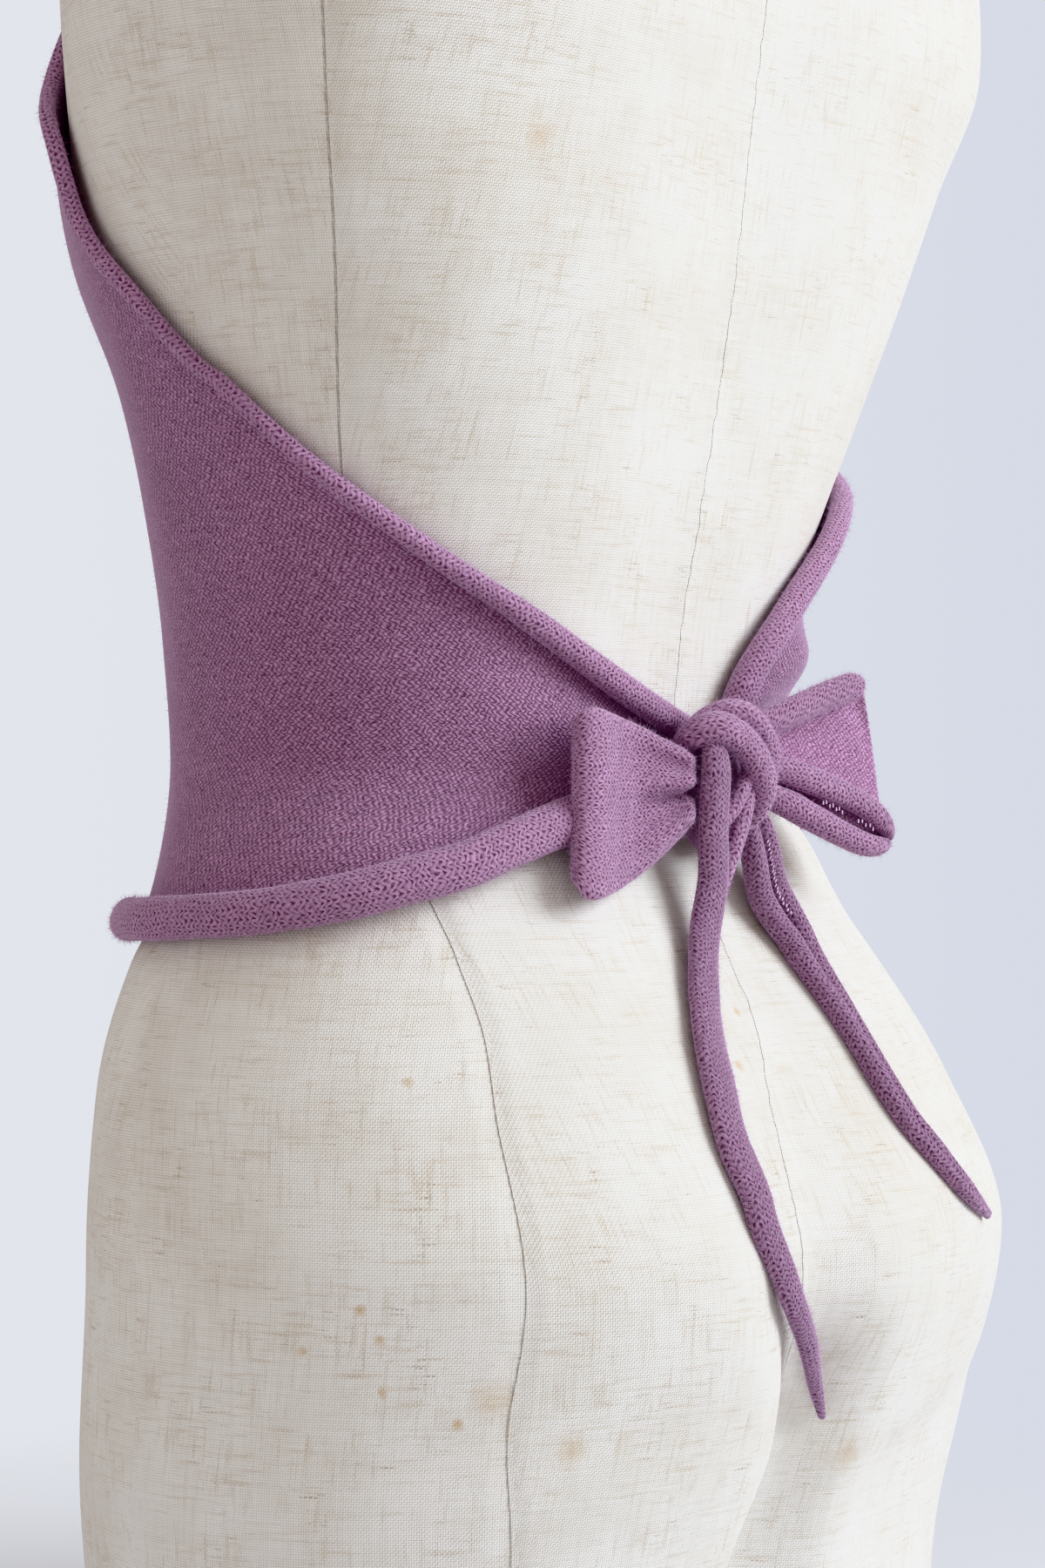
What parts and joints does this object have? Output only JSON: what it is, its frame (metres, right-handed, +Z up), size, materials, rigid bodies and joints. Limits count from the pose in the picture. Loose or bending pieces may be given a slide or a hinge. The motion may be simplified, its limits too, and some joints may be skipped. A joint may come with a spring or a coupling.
{
  "type": "knit camisole on a dress form",
  "caption": "Backless knitted halter camisole with rolled edges, tied in a bow at the back waist, on a linen torso form.",
  "frame": {"origin": "centre of the dress form's flat base", "axes": "+Z up to the neck, -Y out of the chest, +X to the wearer's left"},
  "size_m": [0.376, 0.2574, 0.74],
  "materials": {
    "linen_cover": "matt",
    "mauve_knit": "matt"
  },
  "bodies": {
    "root": {"dress_form": "linen_cover", "body_panel": "mauve_knit", "neck_strap": "mauve_knit", "knot_core": "mauve_knit", "knot_wrap": "mauve_knit", "knot_band": "mauve_knit", "bow_loop_left": "mauve_knit", "bow_loop_right": "mauve_knit", "tie_end_left": "mauve_knit", "tie_end_right": "mauve_knit"}
  },
  "joints": []
}
